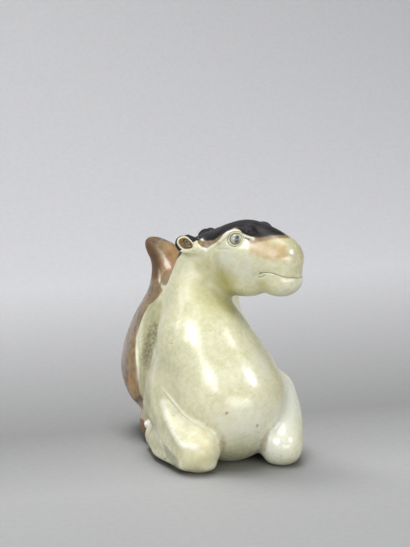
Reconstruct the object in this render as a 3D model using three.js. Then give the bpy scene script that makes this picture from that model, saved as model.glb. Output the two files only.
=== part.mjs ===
// A recumbent two-humped camel, carved from one pebble of pale jade, in millimetres.
// It faces -Y, its head is turned to its own left (+X), and it rests on the plane z = 0.
// Every mass of the animal is a signed distance form, negative inside the stone. The forms melt into
// each other over a stated width, as on a polished pebble, or are ground away. The surface is then
// taken off a fine lattice and thinned, which leaves most of its triangles where it bends most.
import * as THREE from 'three';
import { edgeTable, triTable } from 'three/addons/objects/MarchingCubes.js';
import { SimplifyModifier } from 'three/addons/modifiers/SimplifyModifier.js';

// Driving dimensions. Heights are above the ground.
const CROWN_HEIGHT = 55.2;
const FRONT_HUMP_HEIGHT = 46.2;
const REAR_HUMP_HEIGHT = 47.4;
const BREAST_RADIUS = 13.6;
const HIP_HALF_WIDTH = 17.2;
const HEAD_TURN = THREE.MathUtils.degToRad(44);
const HEAD_HALF_WIDTH = 6;
const MOUTH = { height: 43.9, corner: 15.6, gap: 0.5, depth: 0.6 };
const EYE = { along: 10.6, height: 52.3, radius: 1.2 };
const EAR = { height: 50, radius: 2.1 };
const KNEE_RADIUS = 5.3;
const SHANK_RADIUS = 4.4;

// Widths over which two forms melt together.
const SOFT = 5;
const EASY = 3;
const CLOSE = 1.2;
const CRISP = 0.6;
const FINE = 0.3;
const SOLE = 0.1;

// Height below which a sole is flat, lattice step, and the most triangles kept.
const LAPPED = 0.08;
const CELL = 0.36;
const MOST_TRIANGLES = 9600;

const v3 = (x, y, z) => new THREE.Vector3(x, y, z);
const { clamp, lerp, smoothstep } = THREE.MathUtils;

// Union of two distances, with a fillet of about that width between them.
function melt(a, b, width) {
  const near = Math.max(width - Math.abs(a - b), 0) / width;
  return Math.min(a, b) - near * near * width * 0.25;
}

// What is left of distance a once distance b is ground away.
const grind = (a, b, width) => -melt(-a, b, width);

// A form with others melted into it in turn, given as pairs of form and width.
const together = (first, ...others) => (p) =>
  others.reduce((d, [form, width]) => melt(d, form(p), width), first(p));

// A form with others ground out of it in turn.
const without = (first, ...cuts) => (p) =>
  cuts.reduce((d, [form, width]) => grind(d, form(p), width), first(p));

// Far from the ball that holds a form, and past any melt, the distance to that ball will do.
function bounded(centre, reach, form) {
  return (p) => {
    const gap = p.distanceTo(centre) - reach;
    return gap > 2 * SOFT ? gap : form(p);
  };
}

// An ellipsoid, turned about its centre.
function ellipsoid(centre, radii, turn = new THREE.Euler()) {
  const back = new THREE.Quaternion().setFromEuler(turn).invert();
  const q = v3(0, 0, 0);
  return bounded(centre, Math.max(radii.x, radii.y, radii.z), (p) => {
    q.copy(p).sub(centre).applyQuaternion(back).divide(radii);
    const scaled = q.length();
    const slope = q.divide(radii).length();
    return slope < 1e-9 ? -Math.min(radii.x, radii.y, radii.z) : (scaled * (scaled - 1)) / slope;
  });
}

// A limb: a ball that swells and shrinks along a smooth curve through stations [x, y, z, radius].
function limb(stations) {
  const STEPS = 16;
  const path = new THREE.CatmullRomCurve3(stations.map(([x, y, z]) => v3(x, y, z)));
  const girth = new THREE.CatmullRomCurve3(stations.map((s, i) => v3(i, s[3], 0)));
  const balls = Array.from({ length: STEPS + 1 }, (_, i) => {
    const radius = girth.getPoint(i / STEPS).y;
    return { at: path.getPoint(i / STEPS), radius };
  });
  const middle = path.getPoint(0.5);
  const reach = Math.max(...balls.map(({ at, radius }) => at.distanceTo(middle) + radius));
  return bounded(middle, reach, (p) => {
    let nearest = Infinity;
    for (let i = 0; i < STEPS; i++) nearest = Math.min(nearest, roundCone(p, balls[i], balls[i + 1]));
    return nearest;
  });
}

// Distance to the skin stretched over two balls.
const span = v3(0, 0, 0);
const offset = v3(0, 0, 0);
function roundCone(p, a, b) {
  span.copy(b.at).sub(a.at);
  offset.copy(p).sub(a.at);
  const length = span.length();
  const along = offset.dot(span) / length;
  const beside = Math.sqrt(Math.max(offset.lengthSq() - along * along, 0));
  const flare = clamp((b.radius - a.radius) / length, -0.9, 0.9);
  const foot = along + (beside * flare) / Math.sqrt(1 - flare * flare);
  const t = clamp(foot / length, 0, 1);
  return offset.addScaledVector(span, -t).length() - lerp(a.radius, b.radius, t);
}

// Both sides of the animal: the right one first, which is the fuller, as the neck leans that way.
const RIGHT = -1;
const pair = (make) => [RIGHT, 1].map(make);

// Barrel, breast, rump, neck and humps. The front hump leans left and the rear one right.
function torso() {
  const barrel = ellipsoid(v3(0, 9, 14.5), v3(14.2, 22.5, 15));
  const breast = ellipsoid(v3(0, -7.9, 13.4), v3(BREAST_RADIUS, 14.2, 14.4));
  const rump = ellipsoid(v3(0, 21, 17), v3(13.5, 12.5, 16.5));
  const neck = limb([
    [-0.5, -6.5, 14, 13],
    [-2, -5.5, 20, 12.6],
    [-4.3, -3.5, 26.5, 11.3],
    [-4.9, -1.5, 33, 8.3],
    [-4.6, 0.5, 38, 7.4],
    [-3.5, 1.2, 42, 6.3],
    [-2.9, 1, 45.3, 5],
  ]);
  const frontHump = limb([
    [0, 10.5, 22, 10],
    [0.6, 10.5, 33, 8.4],
    [2, 10.5, 38.6, 6],
    [3.2, 10.5, FRONT_HUMP_HEIGHT - 3.6, 3.6],
  ]);
  const rearHump = limb([
    [-1, 21, 22, 10],
    [-1.9, 22.8, 32, 8],
    [-3.3, 24, 38.6, 5.4],
    [-5.3, 24.6, 42.6, 3.7],
    [-7.5, 25, REAR_HUMP_HEIGHT - 2.7, 2.7],
  ]);
  const shoulders = pair((k) => {
    const [x, z, height] = k === RIGHT ? [12.6, 14.5, 8.5] : [11.6, 11.5, 8];
    return ellipsoid(v3(k * x, -1, z), v3(5.4, 8.5, height), new THREE.Euler(0, 0, k * 0.15));
  });
  return together(
    barrel,
    [breast, SOFT],
    [rump, SOFT],
    [neck, EASY],
    [frontHump, SOFT],
    [rearHump, SOFT],
    ...shoulders.map((shoulder) => [shoulder, EASY]),
  );
}

// The head is set out along its own axis, from the poll to the muzzle.
const headAxis = v3(Math.sin(HEAD_TURN), -Math.cos(HEAD_TURN), 0);
const headSide = v3(-Math.cos(HEAD_TURN), -Math.sin(HEAD_TURN), 0);
const headEuler = new THREE.Euler(0, 0, HEAD_TURN - Math.PI / 2);
const poll = v3(-3, 0.5, 0);
const onHead = (along, side, z) =>
  poll.clone().addScaledVector(headAxis, along).addScaledVector(headSide, side).setZ(z);
const headBall = (along, side, z, radii) => ellipsoid(onHead(along, side, z), radii, headEuler);
const headLimb = (stations) =>
  limb(stations.map(([along, side, z, radius]) => [...onHead(along, side, z), radius]));

function head() {
  const skull = headBall(10.8, 0, CROWN_HEIGHT - 7.8, v3(10.8, HEAD_HALF_WIDTH, 7.8));
  const nape = headLimb([
    [-0.5, 0, 45.6, 5],
    [4, 0, 47.2, 5.4],
  ]);
  const jaw = headBall(11, 0, 44.4, v3(7.2, HEAD_HALF_WIDTH - 0.6, 6.4));
  const muzzle = headLimb([
    [12, 0, 49.4, 6],
    [16, 0, 48.8, 5.6],
    [20, 0, 47.6, 5.4],
  ]);
  const lip = headBall(19.9, 0, MOUTH.height - 0.9, v3(5.4, 5, 4.3));
  const sockets = pair((k) => headBall(EYE.along, k * 6.9, EYE.height, v3(2.1, 1.5, 1.8)));
  const eyes = pair((k) =>
    headBall(EYE.along, k * 4.9, EYE.height, v3(EYE.radius, EYE.radius, EYE.radius)));
  const brows = pair((k) => headLimb([
    [6.5, k * 5.3, 51.8, 0.4],
    [9.5, k * 4.9, 53.5, 0.7],
    [12.6, k * 4.5, 53.9, 0.9],
    [16, k * 4.3, 52.8, 0.8],
  ]));
  const skin = together(skull, [jaw, EASY], [nape, EASY], [muzzle, EASY], [lip, CLOSE]);
  const cut = without((p) => grind(skin(p), mouth(p, skin(p)), FINE), ...sockets.map((s) => [s, CRISP]));
  const raised = [...eyes.map((eye) => [eye, FINE]), ...brows.map((brow) => [brow, CRISP])];
  return together(cut, ...raised);
}

// The line of the mouth: a slit of one depth below the skin, which arches before its corners.
function mouth(p, skin) {
  const along = headAxis.dot(offset.copy(p).sub(poll));
  const arch = Math.exp(-(((along - MOUTH.corner - 2) / 1.5) ** 2));
  const slit = Math.abs(p.z - MOUTH.height - arch) - MOUTH.gap / 2;
  return Math.max(slit, -skin - MOUTH.depth, MOUTH.corner - along);
}

// The ears are laid back, each a leaf with its hollow turned outwards.
const ears = pair((k) => {
  const leaf = headLimb([
    [2.6, k * 5, EAR.height - 1.2, 0.7],
    [0, k * 5.4, EAR.height - 0.5, 1.7],
    [-2.4, k * 5.6, EAR.height, EAR.radius],
  ]);
  const hollow = headLimb([
    [0.2, k * 7.2, EAR.height - 0.4, 0.9],
    [-2.2, k * 7.7, EAR.height, EAR.radius - 0.6],
  ]);
  return { leaf, hollow };
});

// A foreleg is folded at the knee, with the foot turned back along the flank.
function foreleg(k) {
  const top = k === RIGHT ? [-14.6, -3.2, 18, 1.7] : [13.4, -3, 15.6, 2.6];
  const knee = k === RIGHT ? [-10.5, -16.8, 5, KNEE_RADIUS] : [10.1, -18, 4.2, KNEE_RADIUS - 0.8];
  const arm = limb([
    top,
    [k * 13.6, -4.4, 14.8, 3.9],
    [k * 13.1, -7.4, 11.6, 4.8],
    [k * 12.2, -12, 8.2, 5],
    knee,
  ]);
  const forearm = limb([
    [k * 10.1, -16.6, 3.7, 4.1],
    [k * 13, -9, 3.9, 4.3],
    [k * 13.9, -3.5, 3.7, 4],
    [k * 13.8, -0.5, 3.4, 3.6],
    [k * 13.4, 2.6, 3.4, 3.7],
  ]);
  return together(arm, [forearm, EASY]);
}

// The thigh stands proud of the flank below, and its top melts into the rump.
function thigh(k) {
  const centre = v3(k * (HIP_HALF_WIDTH - 8.2), 21, 18.5);
  const haunch = ellipsoid(centre, v3(8, 10, 13.5), new THREE.Euler(-0.22, -k * 0.2, 0));
  const stifle = limb([
    [k * 11.5, 19, 16, 5.8],
    [k * 12.5, 15.2, 12.2, 4.6],
  ]);
  return together(haunch, [stifle, EASY]);
}

// Below the thigh, the shank lies on the ground with the cloven foot in front.
function shank(k) {
  const bone = limb([
    [k * 7, 27, 4.1, SHANK_RADIUS],
    [k * 9.4, 19, 4.1, SHANK_RADIUS],
    [k * 11.4, 11.5, 4.2, SHANK_RADIUS],
  ]);
  const foot = ellipsoid(v3(k * 12, 9.4, 3), v3(3.9, 4.6, 3.4));
  const cleft = limb([
    [k * 12.2, 9.5, 7, 0.4],
    [k * 12.6, 5.4, 5.6, 0.6],
    [k * 12.6, 4.2, 2, 0.7],
  ]);
  return without(together(bone, [foot, CLOSE]), [cleft, CRISP]);
}

// The tail hangs down the rump and is swept to the left.
const tail = limb([
  [0.6, 32.4, 25, 1.4],
  [2.8, 33, 19, 1.9],
  [4.8, 31.6, 12.5, 2.6],
  [5.4, 29.6, 7.5, 1.9],
]);

// The whole stone, ground flat below. A thigh's edge is crisp up to THIGH_CRISP and soft above THIGH_SOFT.
const THIGH_CRISP = 18;
const THIGH_SOFT = 32;
const headless = torso();
const headForm = head();
const forelegs = pair(foreleg);
const thighs = pair(thigh);
const shanks = pair(shank);

function stone(p) {
  let d = melt(headless(p), headForm(p), EASY);
  for (const { leaf, hollow } of ears) d = grind(melt(d, leaf(p), CRISP), hollow(p), FINE);
  const width = lerp(CRISP, SOFT, smoothstep(p.z, THIGH_CRISP, THIGH_SOFT));
  for (const form of forelegs) d = melt(d, form(p), CRISP);
  for (const form of thighs) d = melt(d, form(p), width);
  for (const form of shanks) d = melt(d, form(p), CRISP);
  d = melt(d, tail(p), CRISP);
  return grind(d, p.z, SOLE);
}

// The corners of a lattice cube, and the pairs of corners that its edges join, in the tables' order.
const CORNERS = [[0, 0, 0], [1, 0, 0], [1, 1, 0], [0, 1, 0], [0, 0, 1], [1, 0, 1], [1, 1, 1], [0, 1, 1]];
const EDGES = [
  [0, 1], [1, 2], [3, 2], [0, 3],
  [4, 5], [5, 6], [7, 6], [4, 7],
  [0, 4], [1, 5], [2, 6], [3, 7],
];

// Marching cubes over a box, with one vertex for each lattice edge that the surface crosses.
function polygonise(form, box, cell) {
  const [nx, ny, nz] = box.getSize(v3(0, 0, 0)).divideScalar(cell).ceil().addScalar(1);
  const at = (i, j, k) => (k * ny + j) * nx + i;
  const value = sample(form, box, cell, [nx, ny, nz], at);
  const positions = [];
  const faces = [];
  const vertexOn = new Map();

  // The vertex on one edge of the cube whose lowest corner is i, j, k.
  function crossing(i, j, k, edge) {
    const [from, to] = EDGES[edge].map((c) => CORNERS[c].map((step, axis) => [i, j, k][axis] + step));
    const a = at(...from);
    const b = at(...to);
    const key = a * 3 + to.findIndex((n, axis) => n !== from[axis]);
    if (!vertexOn.has(key)) {
      const t = value[a] / (value[a] - value[b]);
      vertexOn.set(key, positions.length / 3);
      from.forEach((n, axis) =>
        positions.push(box.min.getComponent(axis) + lerp(n, to[axis], t) * cell));
    }
    return vertexOn.get(key);
  }

  for (let k = 0; k < nz - 1; k++)
    for (let j = 0; j < ny - 1; j++)
      for (let i = 0; i < nx - 1; i++) {
        let outside = 0;
        CORNERS.forEach(([x, y, z], c) => {
          if (value[at(i + x, j + y, k + z)] > 0) outside |= 1 << c;
        });
        if (edgeTable[outside] === 0) continue;
        for (let n = outside * 16; triTable[n] !== -1; n++) faces.push(crossing(i, j, k, triTable[n]));
      }
  return new THREE.BufferGeometry()
    .setAttribute('position', new THREE.Float32BufferAttribute(positions, 3))
    .setIndex(new THREE.Uint32BufferAttribute(faces, 1));
}

// The distance at every lattice point. A block whose middle is far from the surface takes that value.
function sample(form, box, cell, [nx, ny, nz], at) {
  const BLOCK = 4;
  const far = BLOCK * cell * Math.sqrt(3);
  const value = new Float32Array(nx * ny * nz);
  const p = v3(0, 0, 0);
  const read = (i, j, k) => form(p.set(i, j, k).multiplyScalar(cell).add(box.min));
  for (let k = 0; k < nz; k += BLOCK)
    for (let j = 0; j < ny; j += BLOCK)
      for (let i = 0; i < nx; i += BLOCK) {
        const middle = read(i + BLOCK / 2, j + BLOCK / 2, k + BLOCK / 2);
        for (let c = k; c < Math.min(k + BLOCK, nz); c++)
          for (let b = j; b < Math.min(j + BLOCK, ny); b++)
            for (let a = i; a < Math.min(i + BLOCK, nx); a++)
              value[at(a, b, c)] = Math.abs(middle) > far ? middle : read(a, b, c) || 1e-6;
      }
  return value;
}

const workspace = new THREE.Box3(v3(-20, -24, -1), v3(20, 38, 58));
const rough = polygonise(stone, workspace, CELL);
const surplus = Math.max(0, 1 - (MOST_TRIANGLES * 3) / rough.index.count);
const geometry = await new SimplifyModifier().modify(rough, surplus * rough.attributes.position.count);

// The soles are lapped dead flat, and the origin goes to the middle of the footprint.
const point = geometry.attributes.position;
for (let i = 0; i < point.count; i++) if (point.getZ(i) < LAPPED) point.setZ(i, 0);
geometry.computeBoundingBox();
const middle = geometry.boundingBox.getCenter(v3(0, 0, 0));
geometry.translate(-middle.x, -middle.y, 0);

const jade = new THREE.MeshStandardMaterial({ color: 0xd8d7b8, roughness: 0.2, metalness: 0 });
const camel = new THREE.Mesh(geometry, jade);
camel.name = 'camel';

const figure = new THREE.Group();
figure.add(camel);

export default figure;
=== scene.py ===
# %% [markdown]
# # A small jade camel
# The real object is a palm-sized figure of a resting two-humped camel, carved from one pebble of
# pale green nephrite. The carver kept some of the pebble's brown and black skin for the head, the
# rear hump and the haunch. This file starts from the plain solid that other tools made, and then
# does what the carver did last: it smooths, cuts the fine lines, stains and polishes. Loading the
# solid fixes all sizes and places.

# %% Load the solid
import math
import bpy
import numpy as np
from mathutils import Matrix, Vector


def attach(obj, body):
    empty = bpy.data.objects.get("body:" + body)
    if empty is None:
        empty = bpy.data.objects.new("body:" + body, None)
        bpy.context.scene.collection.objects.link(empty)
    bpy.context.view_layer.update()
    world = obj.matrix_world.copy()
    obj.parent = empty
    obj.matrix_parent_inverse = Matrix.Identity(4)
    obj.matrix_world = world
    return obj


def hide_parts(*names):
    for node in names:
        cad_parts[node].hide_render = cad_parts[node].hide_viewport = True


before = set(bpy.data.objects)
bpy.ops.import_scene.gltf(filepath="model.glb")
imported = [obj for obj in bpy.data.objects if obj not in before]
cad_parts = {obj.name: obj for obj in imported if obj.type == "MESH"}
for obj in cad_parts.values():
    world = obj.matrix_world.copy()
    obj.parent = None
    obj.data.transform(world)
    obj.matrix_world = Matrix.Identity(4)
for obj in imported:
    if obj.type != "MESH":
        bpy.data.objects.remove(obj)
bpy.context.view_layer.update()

print("nodes:", list(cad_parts))

# %% [markdown]
# ## Millimetres, and one piece at a time
# Blender counts in metres and a jade carver in millimetres, so every size of the figure is written
# in millimetres and multiplied by MM. Operators act on whatever is selected, so a small helper
# first selects the one piece that is being worked on.

# %% Units and selection
MM = 0.001

def only(piece):
    bpy.ops.object.select_all(action="DESELECT")
    piece.select_set(True)
    bpy.context.view_layer.objects.active = piece

def at(x, y, z):
    return Vector((x, y, z)) * MM

print("one millimetre is", MM, "of Blender's metres")

# %% [markdown]
# ## Where the photographer stood
# The figure is seen from in front, a little from its right and a little from above. A long lens
# from 43 cm away keeps the near knee from looking swollen. The direction is built from two angles,
# so it can be checked: azimuth 0 would look straight at the chest. The focal length follows from
# how many of the photograph's pixels one millimetre covers.

# %% Camera
FOCUS = at(-2.75, -5.85, 42.3)
AZIMUTH, ELEVATION = -18, 11
DISTANCE = 430
FILM_WIDTH = 36
PHOTO_HEIGHT = 547
PIXELS_PER_MM = 4.25

def seen_from(azimuth, elevation):
    """The direction from the figure to somebody who looks at it from those two angles."""
    a = math.radians(azimuth)
    e = math.radians(elevation)
    return Vector((math.sin(a) * math.cos(e), -math.cos(a) * math.cos(e), math.sin(e)))

def turn_to(thing, target):
    thing.rotation_euler = (target - thing.location).to_track_quat("-Z", "Y").to_euler()

bpy.ops.object.select_all(action="DESELECT")
bpy.ops.object.camera_add(location=FOCUS + seen_from(AZIMUTH, ELEVATION) * DISTANCE * MM)
camera = bpy.context.active_object
turn_to(camera, FOCUS)
camera.data.sensor_width = FILM_WIDTH
camera.data.lens = FILM_WIDTH * PIXELS_PER_MM * DISTANCE / PHOTO_HEIGHT
camera.data.clip_start = 0.01
bpy.context.scene.camera = camera
print("camera at, mm:", [round(c * 1000) for c in camera.location])

# %% [markdown]
# ## Table and backdrop
# The studio table is one sheet of pale grey card that runs away under the figure and curls up
# behind it, so that no corner line shows. It is made as the card is bent: a flat sheet, whose back
# edge is swept through a quarter turn with Spin and then pulled straight up. Its sizes are in
# metres, and it lies a hair under the ground, so that it shares no plane with the feet.

# %% Sweep of card
CARD_WIDTH, CARD_DEPTH = 3.2, 1.1
CARD_MIDDLE = -0.4
BEND_STARTS = 0.15
BEND_RADIUS = 0.3
WALL_HEIGHT = 1.2
HAIR = 0.00002

def pick(piece, wanted):
    """Opens a piece in edit mode with only the wanted vertices selected."""
    only(piece)
    bpy.ops.object.mode_set(mode="EDIT")
    bpy.ops.mesh.select_mode(type="VERT")
    bpy.ops.mesh.select_all(action="DESELECT")
    bpy.ops.object.mode_set(mode="OBJECT")
    piece.data.vertices.foreach_set("select", wanted)
    bpy.ops.object.mode_set(mode="EDIT")

bpy.ops.object.select_all(action="DESELECT")
bpy.ops.mesh.primitive_plane_add(size=1, location=(0, 0, 0))
table = bpy.context.active_object
table.name = "table_card"
only(table)
bpy.ops.object.mode_set(mode="EDIT")
bpy.ops.transform.resize(value=(CARD_WIDTH, CARD_DEPTH, 1), center_override=(0, 0, 0))
bpy.ops.transform.translate(value=(0, CARD_MIDDLE, -HAIR))
bpy.ops.object.mode_set(mode="OBJECT")
pick(table, [v.co.y > 0 for v in table.data.vertices])
bpy.ops.mesh.spin(steps=24, angle=math.radians(90), center=(0, BEND_STARTS, BEND_RADIUS), axis=(-1, 0, 0))
bpy.ops.mesh.extrude_region_move(TRANSFORM_OT_translate={"value": (0, 0, WALL_HEIGHT)})
bpy.ops.object.mode_set(mode="OBJECT")
bpy.ops.object.shade_smooth()
lowest, highest = table.bound_box[0], table.bound_box[6]
print("card from", [round(c, 2) for c in lowest], "to", [round(c, 2) for c in highest])

# %% [markdown]
# ## Studio light
# Polished stone shows the shapes of its lamps, and area lamps are used because their reflections
# have a size, as real soft boxes have. The long white glint on the chest is a big box to the left
# of the camera, and the small glints on the breast and the far knee are a narrower one to the
# right. A low fill opens the shadows of the legs, a strip draws the sheen on the haunch, a diffuser
# hangs overhead, and the last lamp is for the table.

# %% Lamps
LIT_POINT = at(0, 0, 28)

def soft_box(name, azimuth, elevation, distance, size, watts):
    """A lamp that faces the figure. Its distance, width and height are in metres."""
    bpy.ops.object.select_all(action="DESELECT")
    bpy.ops.object.light_add(type="AREA", location=LIT_POINT + seen_from(azimuth, elevation) * distance)
    lamp = bpy.context.active_object
    lamp.name = name
    lamp.data.shape = "RECTANGLE"
    lamp.data.size, lamp.data.size_y = size
    lamp.data.energy = watts
    turn_to(lamp, LIT_POINT)

soft_box("left_soft_box", -54, 34, 0.60, (0.32, 0.28), 2.3)
soft_box("right_soft_box", 45, 34, 0.60, (0.12, 0.15), 1.1)
soft_box("overhead_diffuser", 180, 84, 0.70, (0.45, 0.45), 2.6)
soft_box("low_front_fill", 5, 8, 0.95, (0.80, 0.24), 2.9)
soft_box("table_light", 190, 68, 0.90, (0.40, 0.40), 4.9)
soft_box("side_strip", -95, 33, 0.75, (0.09, 0.30), 0.42)

# %% [markdown]
# ## Pale room
# Light also comes back from the studio's pale, bluish walls. They could be built, but an even world
# colour gives the same weak light at no cost. The view transform is Standard, so that colours come
# out as they were picked.

# %% Room
WALL_COLOUR = (0.92, 0.94, 1.0, 1.0)
WALL_LIGHT = 0.26

room = bpy.data.worlds.new("pale_room")
room.use_nodes = True
walls = room.node_tree.nodes["Background"]
walls.inputs["Color"].default_value = WALL_COLOUR
walls.inputs["Strength"].default_value = WALL_LIGHT
bpy.context.scene.world = room
bpy.context.scene.view_settings.view_transform = "Standard"
print("light from the walls:", WALL_LIGHT)

# %% [markdown]
# ## The stone, as the coarse wheel leaves it
# The loaded solid is right in its outline and masses, but it is made of flat facets. A copy is
# taken, because the loaded node must stay as it is. Its loose triangles are merged, and a voxel
# remesh gives it an even skin of small squares, which smoothing and carving both need.

# %% Copy and even out the stone
SKIN = 0.48

stone = bpy.data.objects.new("jade_camel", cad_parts["camel"].data.copy())
stone.data.materials.clear()
bpy.context.scene.collection.objects.link(stone)

def apply_now(modifier):
    only(stone)
    bpy.ops.object.modifier_apply(modifier=modifier.name)

only(stone)
bpy.ops.object.mode_set(mode="EDIT")
bpy.ops.mesh.select_all(action="SELECT")
bpy.ops.mesh.remove_doubles(threshold=1e-7)
bpy.ops.object.mode_set(mode="OBJECT")
remesh = stone.modifiers.new("even_skin", "REMESH")
remesh.mode = "VOXEL"
remesh.voxel_size = SKIN * MM
remesh.use_smooth_shade = True
apply_now(remesh)
print("squares in the skin:", len(stone.data.polygons))

# %% [markdown]
# ## Callipers
# A carver keeps measuring how far a place lies from a line drawn on the stone. Blender has no
# operator for that, so short helpers do it with arrays: they tell where every vertex is, how far
# the skin is from a path, and how near it is, in soft steps.

# %% Measure
def places():
    """All the vertices, in millimetres, as rows of x, y, z."""
    flat = np.empty(len(stone.data.vertices) * 3, dtype=np.float32)
    stone.data.vertices.foreach_get("co", flat)
    return flat.reshape(-1, 3).astype(float) * 1000

def ease(x):
    """A soft step: 0 up to x = 0, 1 from x = 1 on, and smooth between."""
    x = np.clip(x, 0, 1)
    return x * x * (3 - 2 * x)

def gap(points, path):
    """How far each point is from a path of straight runs, in millimetres."""
    path = np.atleast_2d(np.array(path, dtype=float))
    if len(path) == 1:
        return np.linalg.norm(points - path[0], axis=1)
    nearest = np.full(len(points), 1e9)
    for start, end in zip(path[:-1], path[1:]):
        run = end - start
        share = np.clip((points - start) @ run / (run @ run), 0, 1)
        nearest = np.minimum(nearest, np.linalg.norm(points - start - share[:, None] * run, axis=1))
    return nearest

def near(path, reach, soft):
    """1 for the skin near a path and 0 beyond the reach. Soft is how wide the change between is."""
    return ease((reach - gap(places(), path)) / soft)

print("top of the stone, mm:", round(float(places()[:, 2].max()), 2))

# %% [markdown]
# ## Fine grinding
# The lapidary takes the facets off with finer and finer wheels. The Smooth modifier does it here,
# one small step repeated many times. A vertex group tells it where to hold back: the head and the
# ears keep more of their form than the broad flanks do.

# %% Grind
WEIGHT_STEPS = 250
HEAD_LINE = [(-1, -8, 50), (14, -23, 47)]

def group_from(weights):
    """A vertex group from one weight for each vertex."""
    group = stone.vertex_groups.new(name="held")
    steps = np.round(np.clip(weights, 0, 1) * WEIGHT_STEPS).astype(int)
    for step in np.unique(steps[steps > 0]):
        group.add(np.flatnonzero(steps == step).tolist(), float(step) / WEIGHT_STEPS, "REPLACE")
    return group

def with_group(modifier, weights):
    """Applies a modifier, held back by those weights."""
    group = group_from(weights)
    modifier.vertex_group = group.name
    apply_now(modifier)
    stone.vertex_groups.remove(stone.vertex_groups["held"])

def grind(weights, times):
    modifier = stone.modifiers.new("grind", "SMOOTH")
    modifier.factor = 0.5
    modifier.iterations = times
    with_group(modifier, weights)

broad = ease((gap(places(), HEAD_LINE) - 8.0) / 5.0)
grind(0.2 + 0.8 * broad, 24)
print("skin ground fully:", int((broad > 0.99).sum()), "of", len(broad))

# %% [markdown]
# ## The head's own directions
# The head is turned 44 degrees to the camel's left, so its lines would be awkward to place along
# the body's axes. They are measured from the ground below the poll instead: forward along the face,
# out to the side, and up. The same line can then be drawn on both cheeks.

# %% Head directions
HEAD_TURN = math.radians(44)
POLL = np.array((-2.963, -5.646, 0))
FORWARD = np.array((math.sin(HEAD_TURN), -math.cos(HEAD_TURN), 0))
OUTWARD = np.array((-math.cos(HEAD_TURN), -math.sin(HEAD_TURN), 0))

def on_head(points, side=1):
    """Points given as forward, outward and up. Side 1 is the camel's right, -1 its left."""
    return [POLL + FORWARD * f + OUTWARD * side * o + np.array((0, 0, u)) for f, o, u in points]

print("the muzzle points along", [round(float(c), 2) for c in FORWARD])

# %% [markdown]
# ## Drawing on the head
# Before cutting, a carver draws each line on the stone in ink. The lines of one side of the head
# are listed by name, with only a few points each, because a smooth curve will be laid through them
# later.

# %% Lines of the head
EYE = (11.05, 5.9, 52.3)
HEAD_LINES = {
    "ridge_behind_eye": [(10.6, 5.3, 54.3), (9.1, 5.5, 53.8), (8.3, 5.5, 52.8), (7.4, 5.5, 51.7),
                         (6.4, 5.3, 50.9), (4.8, 5.4, 49.9), (3.5, 5.6, 48.9)],
    "ridge_from_ear": [(0.8, 5.8, 50.7), (2.1, 5.9, 49.7), (3.5, 5.6, 48.9)],
    "groove_under_eye": [(5.6, 5.7, 49.5), (7.9, 6, 49.8), (10.4, 6.4, 50.1)],
    "under_brow": [(12.6, 5.4, 53.9), (13.9, 5.3, 53.45), (15.3, 5.1, 53)],
    "streak_by_eye": [(13.2, 5.4, 53.3), (14.2, 5.3, 53), (15.5, 5.1, 52.6)],
    "front_of_eye": [(13.1, 5.4, 52.8), (14, 5.4, 52.6), (14.9, 5.3, 52.35)],
    "mouth": [(16.6, 5.2, 43.8), (17.6, 5, 44.9), (19.8, 5.1, 45), (21.2, 4.8, 44.7),
              (22.5, 3.9, 44.2), (23.7, 2.7, 43.9), (24.8, 1.3, 43.7), (25.1, 0, 43.6)],
    "mouth_corner": [(16.3, 5.1, 43.5), (17.9, 5.1, 44.1), (18.8, 4.9, 44.6)],
    "nostril": [(22.8, 1.3, 52), (23.7, 1.15, 51.3), (24.5, 1, 50.5)],
    "jaw": [(6.6, 6.1, 48), (6.8, 6.1, 46.2), (7, 5.9, 44.8), (7.2, 5.5, 43.3),
            (7.6, 4.9, 41.6), (8.2, 3.6, 39.8)],
    "cheek_fold_low": [(12, 6.5, 45.4), (13.6, 6.4, 46.1), (14.8, 6.4, 46.9)],
    "cheek_fold_mid": [(11.3, 6.6, 46.4), (12.6, 6.7, 47.3), (14.1, 6.5, 48.1)],
    "cheek_fold_high": [(11.9, 6.7, 47.5), (13.6, 6.6, 48.6), (15, 6.3, 49.4)],
}
CHEEK_FOLDS = [name for name in HEAD_LINES if "fold" in name]
print("lines on each side of the head:", len(HEAD_LINES))

# %% [markdown]
# ## Drawing on the body
# The body has few long lines: the near foreleg's thin edge, the groove beside each foreleg, the
# haunches' edges, the rear hump's keel, and the tail. They follow the body's own axes: x to the
# camel's left, y to its tail and z up. A worn patch on the near leg is marked too, because small
# pits will be cut there.

# %% Lines of the body
def mirror(points):
    return [(-x, y, z) for x, y, z in points]

FORELEG_EDGE = [(-16.3, -13, 18.3), (-14.8, -16.1, 15.9), (-13.1, -19.6, 13.3), (-11.1, -22.7, 11.4),
                (-9, -24.5, 10.4), (-7.3, -25.4, 9.2), (-6.2, -25.8, 7.4), (-6.1, -26.2, 5.8),
                (-6.9, -26.9, 3.6)]
FORELEG_GROOVE = [(-15.2, -14.6, 18.6), (-13.4, -18, 15.9), (-11.4, -21.7, 13.3), (-9.3, -24.2, 11.9),
                  (-7, -25.7, 10.6), (-5.4, -26, 8.4), (-4.9, -25.2, 6)]
FAR_LEG_GROOVE = [(15.2, -14.5, 16.4), (14, -16.8, 15.2), (12.7, -19.5, 14), (11.3, -22.1, 12.9),
                  (10, -23.6, 11.4), (8.3, -24.8, 10), (6.9, -25.2, 8.2), (5.5, -25, 5.8),
                  (5.3, -24.8, 4)]
HAUNCH_EDGE = [(-11, 14.8, 32.3), (-12.5, 13.2, 29.8), (-13.7, 12.4, 27.5), (-14.7, 11.2, 24.6),
               (-15, 9.7, 22.4), (-15.2, 8.4, 20.3), (-15.4, 7.4, 18), (-15.5, 6.6, 15.7),
               (-15.6, 5.8, 13.4), (-15.5, 5.8, 10.9)]
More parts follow.
